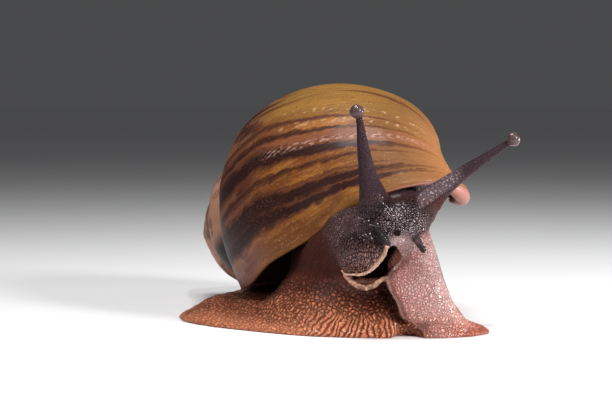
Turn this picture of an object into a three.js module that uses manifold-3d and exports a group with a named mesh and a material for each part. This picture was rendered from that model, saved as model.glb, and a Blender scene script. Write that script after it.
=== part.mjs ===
// Giant african land snail, life size, crawling with its head raised, its mouth open and its
// eye stalks out. Millimetres, +Z up. The head looks along -Y and +X is the animal's left.
// The origin is on the floor, under the middle of the whole animal.
import * as THREE from "three";
import { mergeVertices } from "three/addons/utils/BufferGeometryUtils.js";
import Module from "manifold-3d";

const wasm = await Module();
wasm.setup();

// ---- driving dimensions ---------------------------------------------------------------------
const GAP = 0.3; // clearance that parts neighbouring pieces
const SHELL_GAP = 0.5; // the same, between the shell and the flesh
const TURN = 2 * Math.PI;
const MERGE = 1e-4; // points closer than this are one
const FAR = 200; // further out than anything reaches

// The shell is a spiral tube. Its sizes are those of the section at the lip.
const SHELL = {
  length: 92.8, // apex to base, along the axis
  lastWhorlGrowth: 2, // how many times wider the tube gets over the last whorl
  spireGrowth: 1.5, // the same, for each whorl before it
  sectionHeight: 30.9, // half the section's height, along the axis
  sectionWidth: 18.3, // half the section's width, away from the axis
  sectionOffset: 16.7, // from the axis to the section's middle
  sectionTilt: 0.18, // radians, the top leaning out
  columella: 1.1, // the section never comes closer to the axis than this
  lipSlant: -0.365, // radians by which the lip's base lags behind its top
  wall: 1.3,
  pillar: 3.2, // the hollow never comes closer to the axis than this
  whorls: 6,
  hollowTurn: 0.2, // how far the tube is open behind the lip, in turns
  beyondLip: 0.06, // turns that the tool for the hollow reaches past the lip
  mantleRecess: 0.03, // how far behind the lip the mantle lies, in turns
  overrun: 0.008, // turns by which a cutting stretch of tube runs past its ends
  // The side that lies on the foot: share by which it is flattened, and turns to its middle and edge.
  underside: { share: 0.25, middle: -0.75, spread: 0.16 },
  // The whorls of the spire stand out further: by what share, from which turn, and how softly.
  spireWidening: { share: 0.12, from: -1.05, spread: 0.08 },
  // The bead at the base of the lip, from and to in turns round the section.
  rolledLip: { from: 0.15, to: 0.39, radius: 1.5, drop: 1.1, sunk: 1.2, points: 7 },
};
// Facets of the shell's stretches: steps in a turn, and sides of the section.
const SHELL_FACETS = {
  upper: { steps: 11, sides: 9 },
  penultimate: { steps: 17, sides: 15 },
  last: { steps: 24, sides: 20 },
  hollow: { steps: 20, sides: 18 },
};
const SHELL_APEX = new THREE.Vector3(-44.6, 81.6, 14.6);
const SHELL_AXIS = new THREE.Vector3(0.735, -0.66, 0.156).normalize(); // apex to base
const LIP_SIDE = new THREE.Vector3(-0.637, -0.75, -0.177); // from the axis to the outer lip

// The sole's outline, clockwise from the left front corner as seen from above.
const SOLE = [
  [19, 6.8], [12, 0.6], [4, -0.2], [-8, 0.2], [-19, 3], [-31, 11.2], [-42, 21],
  [-46.9, 30.5], [-45.8, 42], [-43, 56], [-39.2, 70], [-35, 84], [-29.5, 91], [-22, 88],
  [-12, 77], [0, 61], [9, 44], [14.5, 26],
].map(([x, y]) => new THREE.Vector3(x, y, 0));
const SOLE_CREST = [new THREE.Vector3(-8, 20, 0), new THREE.Vector3(-29, 82, 0)];
const FOOT = {
  rim: 0.8, // thickness at the edge
  height: 6.2, // and at the back
  rise: 20, // how far in from the edge the back is full
  swell: 1.3, // above 1 the edge is flatter
  sides: 38,
  rings: [1, 0.9, 0.74, 0.5, 0.25], // shares of the way from the crest to the edge
};

// The neck's level sections: height, middle x and y, and reach to its right, left, front and back.
const NECK = [
  [0.0, -4, 20, 26, 19.6, 19.4, 13],
  [1.2, -4, 20, 26, 19.2, 19.2, 13],
  [3.0, -4, 20, 25, 18, 18.4, 20],
  [5.0, -4, 20, 24, 16.4, 17.4, 26],
  [8.0, -4, 20, 21, 15.2, 16.6, 28],
  [11.4, -4, 18, 19, 13.9, 14.4, 30],
  [15.9, -3, 17, 19.4, 11.5, 14.0, 29],
  [19.5, -2, 15, 18.6, 9.2, 13.0, 27],
  [23.0, -1, 12, 15, 7.2, 9.8, 26],
  [25.6, 0, 11, 12, 5.6, 7.4, 20],
  [28.6, 2, 13, 8, 3.6, 3.6, 12],
];
const NECK_SIDES = 22;
const HEAD = { middle: [-0.2, 5.4, 21.6], radii: [6.9, 6.2, 5.9] };
const LIPS = {
  right: { middle: [-7.4, 1.9, 16.7], radii: [5.2, 4.0, 4.3], turn: 0.35 },
  left: { middle: [2.4, 2.6, 14.2], radii: [4.2, 3.4, 5.6], turn: -0.2 },
};
const LOWER_LIP = {
  line: [[-11.4, 1.4, 12.9], [-7.2, -0.2, 10.8], [-2.6, 1.2, 12.3]],
  radii: [0.7, 1, 0.7],
};
const MOUTH = { middle: [-4.2, -0.8, 14.7], radii: [6.4, 4.6, 1.7], turn: -0.45 };
const ARCH = { middle: [1.7, -1.0, 0], radii: [3.2, 5.5, 3.4] };

// Eye stalks: points along the middle, with the radius at each.
const STALKS = {
  right: {
    line: [[-3.4, 5.4, 23.2], [-5.6, 4.4, 28.2], [-7.2, 3.2, 33.8], [-8.1, 2.2, 39.6], [-8.6, 1.6, 44.4]],
    radii: [3.9, 2.45, 1.75, 1.3, 0.86],
  },
  left: {
    line: [[2.2, 5.4, 23.6], [7.4, 4.1, 28.9], [12.6, 2.6, 33.0], [17.4, 1.3, 36.4], [21.6, 0.4, 39.4]],
    radii: [3.9, 2.7, 1.85, 1.4, 0.9],
  },
};
const EYE = { radius: 1.5, beyond: 1.15 }; // beyond: from the stalk's last point to the eye's middle
const FEELERS = {
  right: { line: [[-2.9, 1.6, 20.6], [-2.6, -0.15, 19.5], [-2.3, -1.9, 18.4]], radii: [0.98, 0.71, 0.75] },
  left: { line: [[3.0, 1.6, 19.8], [4.05, 0.1, 18.4], [5.1, -1.4, 17.0]], radii: [0.98, 0.71, 0.75] },
};
// Facets of the head's pieces: segments round an ellipsoid, sides and steps of a tube.
const FACETS = {
  head: 14,
  lip: 12,
  eye: 12,
  stalk: { sides: 10, steps: 8 },
  feeler: { sides: 8, steps: 4 },
  lowerLip: { sides: 8, steps: 6 },
  rolledLip: { sides: 8, steps: 8 },
};

const MANTLE_GAP = 0.003; // turns that the neck stays clear of the mantle

// Level and upright planes that part the flesh.
const NECK_FLOOR = 9;
const CLEFT_X = 1.7;
const FRONT_END = 20;
const TAIL_START = 58;

// ---- materials ------------------------------------------------------------------------------
const finish = (color, roughness) => new THREE.MeshStandardMaterial({ color, roughness, metalness: 0 });
const SHELL_FINISH = finish(0xa8753a, 0.3);
const FOOT_FINISH = finish(0xa8644a, 0.45);
const SKIN_FINISH = finish(0x5a4345, 0.45);
const EYE_FINISH = finish(0x8a7472, 0.15);

// ---- solids from geometry -------------------------------------------------------------------
function toSolid(geometry) {
  const bare = new THREE.BufferGeometry().setAttribute("position", geometry.getAttribute("position"));
  if (geometry.index) bare.setIndex(geometry.index);
  const merged = mergeVertices(bare, MERGE);
  return new wasm.Manifold(new wasm.Mesh({
    numProp: 3,
    vertProperties: new Float32Array(merged.attributes.position.array),
    triVerts: new Uint32Array(merged.index.array),
  }));
}

function toGeometry(solid) {
  const { numProp, vertProperties, triVerts } = solid.getMesh();
  const points = new Float32Array((vertProperties.length / numProp) * 3);
  for (let i = 0; i < points.length / 3; i++)
    for (let k = 0; k < 3; k++) points[3 * i + k] = vertProperties[numProp * i + k];
  const geometry = new THREE.BufferGeometry();
  geometry.setAttribute("position", new THREE.BufferAttribute(points, 3));
  geometry.setIndex(new THREE.BufferAttribute(new Uint32Array(triVerts), 1));
  geometry.computeVertexNormals();
  return geometry;
}

// The largest body of a solid that a cut has left in pieces.
function largest(solid) {
  return solid.decompose().reduce((a, b) => (a.volume() > b.volume() ? a : b));
}

const join = (...solids) => solids.flat().reduce((a, b) => a.add(b));
const cut = (solid, ...tools) => tools.flat().reduce((a, b) => a.subtract(b), solid);

// A closed solid through rings of points, each ring counter-clockwise seen from the last ring.
function loft(rings) {
  const sides = rings[0].length;
  const points = rings.flat();
  const faces = [];
  for (let r = 0; r + 1 < rings.length; r++)
    for (let k = 0; k < sides; k++) {
      const a = r * sides + k;
      const b = r * sides + ((k + 1) % sides);
      faces.push(a, b, b + sides, a, b + sides, a + sides);
    }
  for (const [r, flip] of [[0, true], [rings.length - 1, false]]) {
    const middle = new THREE.Vector3();
    rings[r].forEach((p) => middle.addScaledVector(p, 1 / sides));
    points.push(middle);
    for (let k = 0; k < sides; k++) {
      const a = r * sides + k;
      const b = r * sides + ((k + 1) % sides);
      faces.push(points.length - 1, ...(flip ? [b, a] : [a, b]));
    }
  }
  const geometry = new THREE.BufferGeometry().setFromPoints(points);
  geometry.setIndex(faces);
  const solid = toSolid(geometry);
  if (solid.volume() > 0) return solid;
  geometry.setIndex(faces.reverse());
  return toSolid(geometry);
}

function box(low, high) {
  const size = high.map((v, i) => v - low[i]);
  const geometry = new THREE.BoxGeometry(...size);
  geometry.translate(...high.map((v, i) => (v + low[i]) / 2));
  return toSolid(geometry);
}

// An ellipsoid turned by an angle about Y, with so many segments round it.
function ellipsoid({ middle, radii, turn = 0 }, grow, segments) {
  const geometry = new THREE.SphereGeometry(1, segments, Math.round(segments * 0.6));
  geometry.scale(...radii.map((r) => r + grow));
  geometry.rotateY(turn);
  geometry.translate(...middle);
  return toSolid(geometry);
}

// A round tube along a line of points, with its own radius at each, closed by rounded ends.
function taperedTube({ line, radii }, grow, { sides, steps }) {
  const curve = new THREE.CatmullRomCurve3(line.map((p) => new THREE.Vector3(...p)));
  const frames = curve.computeFrenetFrames(steps, false);
  const rings = [];
  const ring = (t, i, share, push) => {
    const at = t * (radii.length - 1);
    const low = Math.min(Math.floor(at), radii.length - 2);
    const radius = (THREE.MathUtils.lerp(radii[low], radii[low + 1], at - low) + grow) * share;
    const middle = curve.getPoint(t).addScaledVector(frames.tangents[i], push * (radii[low] + grow));
    return Array.from({ length: sides }, (_, k) => {
      const a = (k / sides) * TURN;
      return middle.clone()
        .addScaledVector(frames.normals[i], radius * Math.cos(a))
        .addScaledVector(frames.binormals[i], radius * Math.sin(a));
    });
  };
  const cap = { share: 0.6, push: 0.5 }; // of the radius
  rings.push(ring(0, 0, cap.share, -cap.push));
  for (let i = 0; i <= steps; i++) rings.push(ring(i / steps, i, 1, 0));
  rings.push(ring(1, steps, cap.share, cap.push));
  return loft(rings);
}

// ---- shell ----------------------------------------------------------------------------------
const shellFrame = (() => {
  const e1 = LIP_SIDE.clone().addScaledVector(SHELL_AXIS, -LIP_SIDE.dot(SHELL_AXIS)).normalize();
  const e2 = SHELL_AXIS.clone().cross(e1);
  return new THREE.Matrix4().makeBasis(e1, e2, SHELL_AXIS).setPosition(SHELL_APEX);
})();

// Size of the tube at an angle back from the lip, against its size at the lip.
function tubeScale(angle) {
  const turns = angle / TURN;
  if (turns > -1) return SHELL.lastWhorlGrowth ** turns;
  return SHELL.spireGrowth ** (turns + 1) / SHELL.lastWhorlGrowth;
}

// One ring of the tube. inset is how far the ring lies inside the tube's outer face.
function tubeRing(angle, inset, sides, nearest) {
  const s = SHELL;
  const cosTilt = Math.cos(s.sectionTilt);
  const sinTilt = Math.sin(s.sectionTilt);
  const middle = s.length - Math.hypot(s.sectionHeight * cosTilt, s.sectionWidth * sinTilt);
  const scale = tubeScale(angle);
  return Array.from({ length: sides }, (_, k) => {
    const u = (k / sides) * TURN;
    const w = (s.sectionWidth - inset / scale) * Math.cos(u);
    const h = (s.sectionHeight - inset / scale) * Math.sin(u);
    const out = s.sectionOffset + w * cosTilt - h * sinTilt;
    const along = w * sinTilt + h * cosTilt;
    const theta = angle + (s.lipSlant * along) / s.sectionHeight;
    const turns = theta / TURN;
    const flat = Math.exp(-(((turns - s.underside.middle) / s.underside.spread) ** 2));
    const wide = 1 / (1 + Math.exp((turns - s.spireWidening.from) / s.spireWidening.spread));
    const reach = out * (1 - s.underside.share * flat) * (1 + s.spireWidening.share * wide);
    const grown = tubeScale(theta);
    const radius = Math.max(reach, nearest) * grown;
    return new THREE.Vector3(radius * Math.cos(theta), radius * Math.sin(theta), (middle + along) * grown)
      .applyMatrix4(shellFrame);
  });
}

// The tube from one number of turns to another, in wedges joined end to end.
function tube(from, to, inset, { steps: stepsPerTurn, sides }, nearest = SHELL.columella) {
  const steps = Math.max(1, Math.round((to - from) * stepsPerTurn));
  const rings = Array.from({ length: steps + 1 }, (_, i) =>
    tubeRing((from + ((to - from) * i) / steps) * TURN, inset, sides, nearest));
  const wedges = [];
  const most = Math.ceil(stepsPerTurn / 4); // a wedge is a quarter turn at most, so it never meets itself
  for (let i = 0; i < steps; i += most) wedges.push(loft(rings.slice(i, Math.min(i + most, steps) + 1)));
  return join(wedges);
}

// The lip rolls over into a bead round its base, thickest in the middle.
function rolledLip(grow) {
  const { from, to, radius, drop, sunk, points } = SHELL.rolledLip;
  const fine = 100; // points round the ring from which the line is picked
  const lead = 0.7; // steps from the bead's thin end to its first point
  const ring = tubeRing(0, sunk, fine, SHELL.columella);
  const line = [];
  const radii = [];
  for (let i = 0; i < points; i++) {
    const share = from + ((to - from) * i) / (points - 1);
    const p = ring[Math.round(share * fine)];
    line.push([p.x, p.y, p.z - drop]);
    radii.push(radius * Math.sin(((i + lead) / points) * Math.PI));
  }
  return taperedTube({ line, radii }, grow, FACETS.rolledLip);
}

const past = (grow) => (grow > 0 ? SHELL.overrun : 0);
const upper = (grow) => tube(-SHELL.whorls, -2 + past(grow), -grow, SHELL_FACETS.upper);
const penultimate = (grow) => tube(-2 - past(grow), -1 + past(grow), -grow, SHELL_FACETS.penultimate);
const lastWhorl = (grow) => tube(-1, past(grow) / 3, -grow, SHELL_FACETS.last);
const hollow = (grow) =>
  tube(-SHELL.hollowTurn, SHELL.beyondLip, SHELL.wall + grow, SHELL_FACETS.hollow, SHELL.pillar + grow);

const upperWhorls = upper(0);
const penultimateWhorl = cut(penultimate(0), upper(GAP));
const bodyWhorl = cut(join(cut(lastWhorl(0), hollow(0)), rolledLip(0)), penultimate(GAP), upper(GAP));
const shellCutter = join(cut(lastWhorl(SHELL_GAP), hollow(SHELL_GAP)), rolledLip(SHELL_GAP),
  penultimate(SHELL_GAP), upper(SHELL_GAP));

// ---- foot and neck --------------------------------------------------------------------------
function foot() {
  const curve = new THREE.CatmullRomCurve3(SOLE, true, "centripetal");
  const outline = curve.getSpacedPoints(FOOT.sides).slice(0, FOOT.sides);
  const crest = new THREE.Line3(...SOLE_CREST);
  const top = (edge, share) => {
    const point = crest.closestPointToPoint(edge, true, new THREE.Vector3()).lerp(edge, share);
    const rise = Math.min(1, point.distanceTo(edge) / FOOT.rise);
    point.z = FOOT.rim + (FOOT.height - FOOT.rim) * Math.sin((rise * Math.PI) / 2) ** FOOT.swell;
    return point;
  };
  const over = FOOT.rings.map((share) => outline.map((edge) => top(edge, share)));
  const bottom = over.map((ring) => ring.map((point) => point.clone().setZ(0))).reverse();
  return loft([...bottom, ...over]);
}

function neck() {
  const rings = NECK.map(([z, x, y, right, left, front, back]) =>
    Array.from({ length: NECK_SIDES }, (_, k) => {
      const a = (k / NECK_SIDES) * TURN;
      const c = Math.cos(a);
      const s = Math.sin(a);
      return new THREE.Vector3(x + c * (c > 0 ? left : right), y + s * (s > 0 ? back : front), z);
    }));
  return loft(rings);
}

// The mantle plugs the hollow, a little way behind the lip.
function mantle(from, recess, clearance) {
  const inset = SHELL.wall + clearance;
  return tube(from, -recess, inset, SHELL_FACETS.hollow, SHELL.pillar + clearance);
}

// ---- head -----------------------------------------------------------------------------------
const sideNames = ["right", "left"];
const stalk = (side, grow) => taperedTube(STALKS[side], grow, FACETS.stalk);
const eye = (side, grow) => {
  const [a, b] = STALKS[side].line.slice(-2).map((p) => new THREE.Vector3(...p));
  const middle = b.clone().addScaledVector(b.clone().sub(a).normalize(), EYE.beyond);
  const radii = [EYE.radius, EYE.radius, EYE.radius];
  return ellipsoid({ middle: middle.toArray(), radii }, grow, FACETS.eye);
};
const feeler = (side, grow) => taperedTube(FEELERS[side], grow, FACETS.feeler);
const lip = (side, grow) => ellipsoid(LIPS[side], grow, FACETS.lip);
const lowerLip = (grow) => taperedTube(LOWER_LIP, grow, FACETS.lowerLip);
const head = (grow) => ellipsoid(HEAD, grow, FACETS.head);
const mouth = () => ellipsoid(MOUTH, 0, FACETS.lip);
const arch = () => ellipsoid(ARCH, 0, FACETS.lip);

// ---- the pieces, each cut back by the ones before it ------------------------------------------
const pieces = {};
const tools = [];
function keep(name, solid, finishOf) {
  pieces[name] = { solid: largest(solid), finishOf };
}
keep("shell_upper_whorls", upperWhorls, SHELL_FINISH);
keep("shell_penultimate_whorl", penultimateWhorl, SHELL_FINISH);
keep("shell_body_whorl", bodyWhorl, SHELL_FINISH);
for (const side of sideNames) {
  keep(`eye_${side}`, eye(side, 0), EYE_FINISH);
  keep(`eye_stalk_${side}`, cut(stalk(side, 0), eye(side, GAP), tools, shellCutter), SKIN_FINISH);
  keep(`feeler_${side}`, feeler(side, 0), SKIN_FINISH);
  tools.push(eye(side, GAP), stalk(side, GAP), feeler(side, GAP));
}
keep("lip_lower", cut(lowerLip(0), tools, mouth()), SKIN_FINISH);
tools.push(lowerLip(GAP));
for (const side of sideNames) {
  keep(`lip_${side}`, cut(lip(side, 0), tools, mouth()), SKIN_FINISH);
  tools.push(lip(side, GAP));
}
keep("head", cut(head(0), tools, mouth(), shellCutter), SKIN_FINISH);
tools.push(head(GAP));
const mantlePlug = mantle(SHELL.overrun - SHELL.hollowTurn, SHELL.mantleRecess, SHELL_GAP);
keep("mantle", cut(mantlePlug, tools, bodyWhorl, penultimate(SHELL_GAP), upper(SHELL_GAP)), SKIN_FINISH);

const mantleCutter = mantle(-SHELL.hollowTurn, SHELL.mantleRecess - MANTLE_GAP, 0);
const body = cut(join(foot(), neck()), tools, mouth(), arch(), shellCutter, mantleCutter);

// The part of the body between two corners, half a gap inside each plane that parts it.
function part(low, high) {
  return body.intersect(box(low, high));
}
const half = GAP / 2;
keep("neck", part([-FAR, -FAR, NECK_FLOOR + half], [FAR, FAR, FAR]), SKIN_FINISH);
const under = NECK_FLOOR - half;
keep("foot_front_right", part([-FAR, -FAR, -FAR], [CLEFT_X - half, FRONT_END - half, under]), FOOT_FINISH);
keep("foot_front_left", part([CLEFT_X + half, -FAR, -FAR], [FAR, FRONT_END - half, under]), FOOT_FINISH);
keep("foot_middle", part([-FAR, FRONT_END + half, -FAR], [FAR, TAIL_START - half, under]), FOOT_FINISH);
keep("foot_tail", part([-FAR, TAIL_START + half, -FAR], [FAR, FAR, under]), FOOT_FINISH);

const snail = new THREE.Group();
for (const [name, { solid, finishOf }] of Object.entries(pieces)) {
  const mesh = new THREE.Mesh(toGeometry(solid), finishOf);
  mesh.name = name;
  snail.add(mesh);
}
const bounds = new THREE.Box3().setFromObject(snail);
const middle = bounds.getCenter(new THREE.Vector3());
snail.position.set(-middle.x, -middle.y, -bounds.min.z);

export default snail;
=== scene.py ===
import bpy
import numpy as np
from math import pi, sin, cos, radians
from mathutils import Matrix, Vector, noise
from mathutils.bvhtree import BVHTree


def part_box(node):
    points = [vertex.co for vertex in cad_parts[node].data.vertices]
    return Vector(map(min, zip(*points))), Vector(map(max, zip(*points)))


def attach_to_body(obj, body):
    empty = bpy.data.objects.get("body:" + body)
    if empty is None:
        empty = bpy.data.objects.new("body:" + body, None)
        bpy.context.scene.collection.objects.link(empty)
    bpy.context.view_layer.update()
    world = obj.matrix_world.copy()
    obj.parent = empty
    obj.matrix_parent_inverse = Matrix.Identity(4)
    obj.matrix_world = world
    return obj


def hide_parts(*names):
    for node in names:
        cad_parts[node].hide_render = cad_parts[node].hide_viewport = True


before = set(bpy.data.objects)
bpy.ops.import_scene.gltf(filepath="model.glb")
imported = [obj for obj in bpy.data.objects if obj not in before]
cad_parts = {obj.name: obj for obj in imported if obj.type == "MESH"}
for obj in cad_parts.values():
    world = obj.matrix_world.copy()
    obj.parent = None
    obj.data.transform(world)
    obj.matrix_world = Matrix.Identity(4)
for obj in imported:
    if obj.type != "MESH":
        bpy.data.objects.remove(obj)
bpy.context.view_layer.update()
bpy.ops.object.select_all(action="DESELECT")

mm = 0.001
# the snail's own zero, on the floor at the notch in the front of the foot, in the frame's metres: so many
# millimetres from the edges of two parts of the foot
notch = {"besideLeft": 1.85, "beforeMiddle": 20.15}
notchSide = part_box("foot_front_left")[0][0] - notch["besideLeft"] * mm
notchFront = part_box("foot_middle")[0][1] - notch["beforeMiddle"] * mm
zeroPoint = Vector((notchSide, notchFront, 0))


def place(point):
    # a point in millimetres from the snail's zero, as metres in the frame
    return Vector(point) * mm + zeroPoint


class Wire:
    # a node's output that takes part in plain arithmetic

    def __init__(self, tree, socket=None):
        self.tree = tree
        self.socket = socket

    def node(self, kind, settings=None, inputs=None, output=0):
        made = self.tree.nodes.new(kind)
        for name, value in (settings or {}).items():
            setattr(made, name, value)
        for name, value in (inputs or {}).items():
            if isinstance(value, Wire):
                self.tree.links.new(value.socket, made.inputs[name])
            else:
                made.inputs[name].default_value = value
        return Wire(self.tree, made.outputs[output])

    def maths(self, operation, *values):
        return self.node("ShaderNodeMath", {"operation": operation}, dict(enumerate((self, *values))))

    def __add__(self, other):
        return self.maths("ADD", other)

    def __radd__(self, other):
        return self.maths("ADD", other)

    def __sub__(self, other):
        return self.maths("SUBTRACT", other)

    def __rsub__(self, other):
        return (self * -1).maths("ADD", other)

    def __mul__(self, other):
        return self.maths("MULTIPLY", other)

    def __rmul__(self, other):
        return self.maths("MULTIPLY", other)

    def __truediv__(self, other):
        return self.maths("DIVIDE", other)

    def __pow__(self, other):
        return self.maths("POWER", other)

    def mark(self, name):
        # a value kept on the points of the piece
        if self.tree.type == "GEOMETRY":
            return self.node("GeometryNodeInputNamedAttribute", {"data_type": "FLOAT"}, {"Name": name})
        return self.node("ShaderNodeAttribute", {"attribute_name": name}, None, 2)

    def blend(self, other, share):
        return self + (other - self) * share

    def ease(self, low, high):
        # a soft step from 0 to 1 as the value goes from low to high
        return self.node("ShaderNodeMapRange", {"interpolation_type": "SMOOTHSTEP"},
                         {"Value": self, "From Min": low, "From Max": high})

    def vector(self, operation, other, output=0):
        return self.node("ShaderNodeVectorMath", {"operation": operation}, {0: self, 1: other}, output)

    def near(self, centre, radii, soft):
        # 1 inside an ellipsoid, 0 outside, with a soft skin
        offset = self.vector("SUBTRACT", tuple(centre)).vector("DIVIDE", tuple(radii))
        return offset.vector("LENGTH", (0, 0, 0), "Value").ease(1 + soft, 1 - soft)

    def part(self, axis):
        return self.node("ShaderNodeSeparateXYZ", None, {0: self}, axis)

    def mixOf(self, first, second, share, blend="MIX"):
        # a colour that goes from the first to the second as share goes from 0 to 1
        made = self.tree.nodes.new("ShaderNodeMix")
        made.data_type = "RGBA"
        made.blend_type = blend
        for index, value in ((0, share), (6, first), (7, second)):
            if isinstance(value, Wire):
                self.tree.links.new(value.socket, made.inputs[index])
            else:
                made.inputs[index].default_value = value if index == 0 else (*value, 1)
        return Wire(self.tree, made.outputs[2])

    def mix(self, other, share, blend="MIX"):
        return self.mixOf(self, other, share, blend)

    def noise(self, scale, detail=2.0, roughness=0.5, distortion=0.0, output=0):
        # a value, or three of them as output 1
        return self.node("ShaderNodeTexNoise", None,
                         {"Vector": self, "Scale": scale, "Detail": detail, "Roughness": roughness,
                          "Distortion": distortion}, output)

    def cells(self, scale, randomness=1.0):
        # distance from the nearest groove of a mosaic of cells, 0 in the groove
        return self.node("ShaderNodeTexVoronoi", {"feature": "DISTANCE_TO_EDGE"},
                         {"Vector": self, "Scale": scale, "Randomness": randomness})

    def dots(self, scale, randomness, output=0):
        # distance from the nearest of many scattered dots, or that dot's random colour as output 1
        return self.node("ShaderNodeTexVoronoi", None,
                         {"Vector": self, "Scale": scale, "Randomness": randomness}, output)


def startMaterial(name, settings):
    material = bpy.data.materials.new(name)
    material.use_nodes = True
    shader = material.node_tree.nodes["Principled BSDF"]
    for socket, value in settings.items():
        shader.inputs[socket].default_value = value
    return material, shader, Wire(material.node_tree)


def attach(material, shader, links):
    for socket, wire in links.items():
        material.node_tree.links.new(wire.socket, shader.inputs[socket])


def bumpOf(start, height, strength, distance):
    inputs = {"Height": height, "Strength": strength, "Distance": distance}
    return start.node("ShaderNodeBump", None, inputs)


def only(piece):
    bpy.ops.object.select_all(action="DESELECT")
    piece.select_set(True)
    bpy.context.view_layer.objects.active = piece


def settle(piece):
    # the piece's place goes into its mesh
    only(piece)
    bpy.ops.object.transform_apply(location=True, rotation=True, scale=True)


def finishModifiers(piece):
    only(piece)
    for modifier in list(piece.modifiers):
        bpy.ops.object.modifier_apply(modifier=modifier.name)


def points(piece):
    found = np.empty(len(piece.data.vertices) * 3)
    piece.data.vertices.foreach_get("co", found)
    return found.reshape(-1, 3)


def movePoints(piece, moved):
    piece.data.vertices.foreach_set("co", np.ascontiguousarray(moved, dtype=np.float64).ravel())
    piece.data.update()


def keep(piece, name, values):
    # a value for every point, for the shaders to read
    mark = piece.data.attributes.new(name, "FLOAT", "POINT")
    mark.data.foreach_set("value", np.asarray(values, dtype=np.float32))


def step(value, low, high):
    # a soft step from 0 to 1 as the value goes from low to high
    share = np.clip((value - low) / (high - low), 0, 1)
    return share * share * (3 - 2 * share)


def hill(value, at, width):
    # 1 at one place, falling to 0 on both sides of it
    return np.exp(-((value - at) / width) ** 2)


def join(pieces):
    bpy.ops.object.select_all(action="DESELECT")
    for piece in pieces:
        piece.select_set(True)
    bpy.context.view_layer.objects.active = pieces[0]
    bpy.ops.object.join()
    return pieces[0]


def taperedTube(name, line, radii):
    bpy.ops.curve.primitive_nurbs_path_add()
    path = bpy.context.object
    path.name = name
    curve = path.data
    curve.splines.clear()
    spline = curve.splines.new("BEZIER")
    spline.bezier_points.add(len(line) - 1)
    for point, spot, radius in zip(spline.bezier_points, line, radii):
        point.co = place(spot)
        point.radius = radius
        point.handle_left_type = "AUTO"
        point.handle_right_type = "AUTO"
    curve.dimensions = "3D"
    curve.bevel_depth = mm
    curve.bevel_resolution = 6
    curve.resolution_u = 16
    curve.use_fill_caps = True
    only(path)
    bpy.ops.object.convert(target="MESH")
    return bpy.context.object


view = {
    "eye": (-18.92, -340, 46.92),  # millimetres from the snail's zero
    "down": 3.33,  # degrees
    "lens": 100,
    "sensor": 36,
    "nearest": 0.01,  # metres
}
bpy.ops.object.camera_add(location=place(view["eye"]), rotation=(radians(90 - view["down"]), 0, 0))
camera = bpy.context.object
camera.data.lens = view["lens"]
camera.data.sensor_width = view["sensor"]
camera.data.clip_start = view["nearest"]
camera.data.dof.use_dof = False
bpy.context.scene.camera = camera

studio = {
    "world": (0.96, 0.97, 1.0),
    "worldStrength": 0.07,
    # place and aim in millimetres, size in millimetres, power in watts
    "lamps": [
        ("key", (320, -230, 240), (0, 0, 15), 120, 2.1),
        ("overhead", (-60, 40, 400), (0, 20, 10), 200, 1.15),
        ("fill", (-280, -200, 140), (-10, 0, 15), 240, 0.15),
        ("edge", (330, 70, 40), (0, 0, 25), 60, 0.55),
        ("glint", (40, -150, 330), (0, 0, 20), 16, 0.30),
    ],
    "floor": (0.95, 0.95, 0.955),
    "floorSize": 40,  # metres
}
world = bpy.context.scene.world or bpy.data.worlds.new("studio")
bpy.context.scene.world = world
world.use_nodes = True
world.node_tree.nodes["Background"].inputs["Color"].default_value = (*studio["world"], 1)
world.node_tree.nodes["Background"].inputs["Strength"].default_value = studio["worldStrength"]
bpy.context.scene.view_settings.view_transform = "Standard"
for name, spot, aim, size, power in studio["lamps"]:
    turn = (place(aim) - place(spot)).to_track_quat("-Z", "Y").to_euler()
    bpy.ops.object.light_add(type="AREA", location=place(spot), rotation=turn)
    lamp = bpy.context.object
    lamp.name = name
    lamp.data.shape = "DISK"
    lamp.data.size = size * mm
    lamp.data.energy = power

bpy.ops.mesh.primitive_plane_add(size=studio["floorSize"], location=(0, 0, 0))
floor = bpy.context.object
floor.name = "floor"
floorLook = {"Roughness": 0.5, "Base Color": (*studio["floor"], 1), "Specular IOR Level": 0.5}
floor.data.materials.append(startMaterial("paleFloor", floorLook)[0])
print("camera, light and floor set")


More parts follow.
